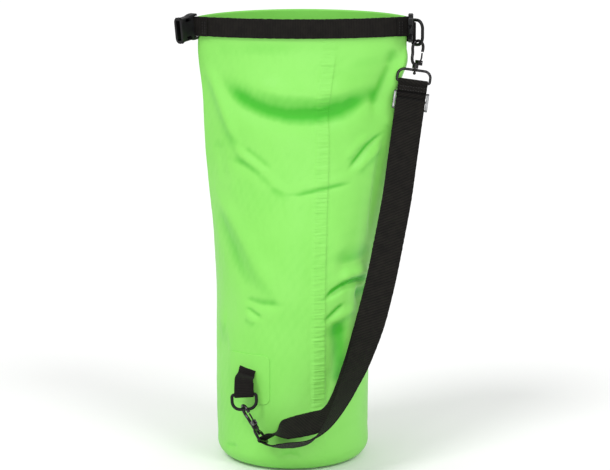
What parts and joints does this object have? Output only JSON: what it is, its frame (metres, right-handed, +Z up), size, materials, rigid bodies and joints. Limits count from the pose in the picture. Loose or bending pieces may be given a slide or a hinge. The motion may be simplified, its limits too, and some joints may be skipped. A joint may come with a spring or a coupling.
{
  "type": "roll-top dry bag",
  "caption": "Tall open roll-top dry bag with a round base, a side-release buckle at the mouth and a clip-on shoulder strap.",
  "frame": {"origin": "centre of the base, on the surface that the bag stands on", "axes": "+Z up the bag, +X towards the end of the mouth that carries the male buckle and the strap, -Y the seamed front"},
  "size_m": [0.3289, 0.2725, 0.5882],
  "materials": {
    "tarpaulin": "satin PVC-coated fabric",
    "webbing": "woven",
    "moulded": "satin",
    "hook_metal": "dark plated, glossy",
    "slider_metal": "polished"
  },
  "bodies": {
    "bag": {"bag_wall": "tarpaulin", "base_disc": "tarpaulin", "anchor_patch": "tarpaulin", "rim_stiffener": "moulded", "closure_webbing": "webbing", "upper_tab": "webbing", "lower_tab": "webbing", "strap_running_layer": "webbing", "strap_tail_layer": "webbing", "upper_strap_ring": "hook_metal", "lower_strap_ring": "hook_metal"},
    "female_buckle_half": {"female_buckle": "moulded"},
    "male_buckle_half": {"male_buckle_body": "moulded"},
    "prong_upper": {"male_prong_upper": "moulded"},
    "prong_lower": {"male_prong_lower": "moulded"},
    "upper_ring": {"upper_d_ring": "moulded"},
    "lower_ring": {"lower_d_ring": "moulded"},
    "upper_hook": {"upper_hook_body": "hook_metal", "upper_gate_pin": "hook_metal", "upper_swivel_rivet": "hook_metal"},
    "upper_gate": {"upper_hook_gate": "hook_metal"},
    "lower_hook": {"lower_hook_body": "hook_metal", "lower_gate_pin": "hook_metal", "lower_swivel_rivet": "hook_metal"},
    "lower_gate": {"lower_hook_gate": "hook_metal"},
    "strap_slider": {"slider": "slider_metal"}
  },
  "joints": [
    {"name": "female_buckle_swing", "type": "hinge", "parent": "bag", "child": "female_buckle_half", "pos_m": [-0.12615, -0.02128, 0.5715], "axis": [-0.0823, -0.0992, 0.9917], "range_deg": [-50, 4]},
    {"name": "male_buckle_swing", "type": "hinge", "parent": "bag", "child": "male_buckle_half", "pos_m": [0.15115, -0.02128, 0.5715], "axis": [0, -0.1603, 0.9871], "range_deg": [0, 35]},
    {"name": "prong_upper_flex", "type": "hinge", "parent": "male_buckle_half", "child": "prong_upper", "pos_m": [0.1507, -0.03192, 0.58092], "axis": [0.9987, -0.0494, -0.008], "range_deg": [0, 8], "stiffness_Nm_per_rad": 0.3},
    {"name": "prong_lower_flex", "type": "hinge", "parent": "male_buckle_half", "child": "prong_lower", "pos_m": [0.1507, -0.02839, 0.5592], "axis": [-0.9987, 0.0494, 0.008], "range_deg": [0, 8], "stiffness_Nm_per_rad": 0.3},
    {"name": "upper_ring_swing", "type": "hinge", "parent": "bag", "child": "upper_ring", "pos_m": [0.1545, -0.011, 0.563], "axis": [0, 0, 1], "range_deg": [-7, 7]},
    {"name": "lower_ring_swing", "type": "hinge", "parent": "bag", "child": "lower_ring", "pos_m": [-0.0625, -0.097, 0.105], "axis": [0.9948, -0.0701, 0.0745], "range_deg": [-5, 0]},
    {"name": "upper_hook_swivel", "type": "hinge", "parent": "bag", "child": "upper_hook", "pos_m": [0.15685, -0.02438, 0.5154], "axis": [0.136, 0.145, 0.98], "range_deg": [-16, 16]},
    {"name": "upper_gate_hinge", "type": "hinge", "parent": "upper_hook", "child": "upper_gate", "pos_m": [0.16342, -0.01884, 0.52469], "axis": [0.6198, -0.7842, 0.03], "range_deg": [0, 25], "stiffness_Nm_per_rad": 0.02, "springref_deg": -20.05},
    {"name": "lower_hook_swivel", "type": "hinge", "parent": "bag", "child": "lower_hook", "pos_m": [-0.04507, -0.11576, 0.06211], "axis": [-0.5069, 0.4015, 0.7628], "range_deg": [-16, 16]},
    {"name": "lower_gate_hinge", "type": "hinge", "parent": "lower_hook", "child": "lower_gate", "pos_m": [-0.04937, -0.11682, 0.07397], "axis": [-0.8433, -0.4144, -0.3423], "range_deg": [0, 25], "stiffness_Nm_per_rad": 0.02, "springref_deg": -20.05},
    {"name": "slider_slide", "type": "slide", "parent": "bag", "child": "strap_slider", "axis": [-0.136, -0.145, -0.98], "range_m": [0, 0.04], "deforming": ["strap_tail_layer"]}
  ],
  "couplings": [
    {"joint": "prong_lower_flex", "follows": "prong_upper_flex", "ratio": 1}
  ]
}
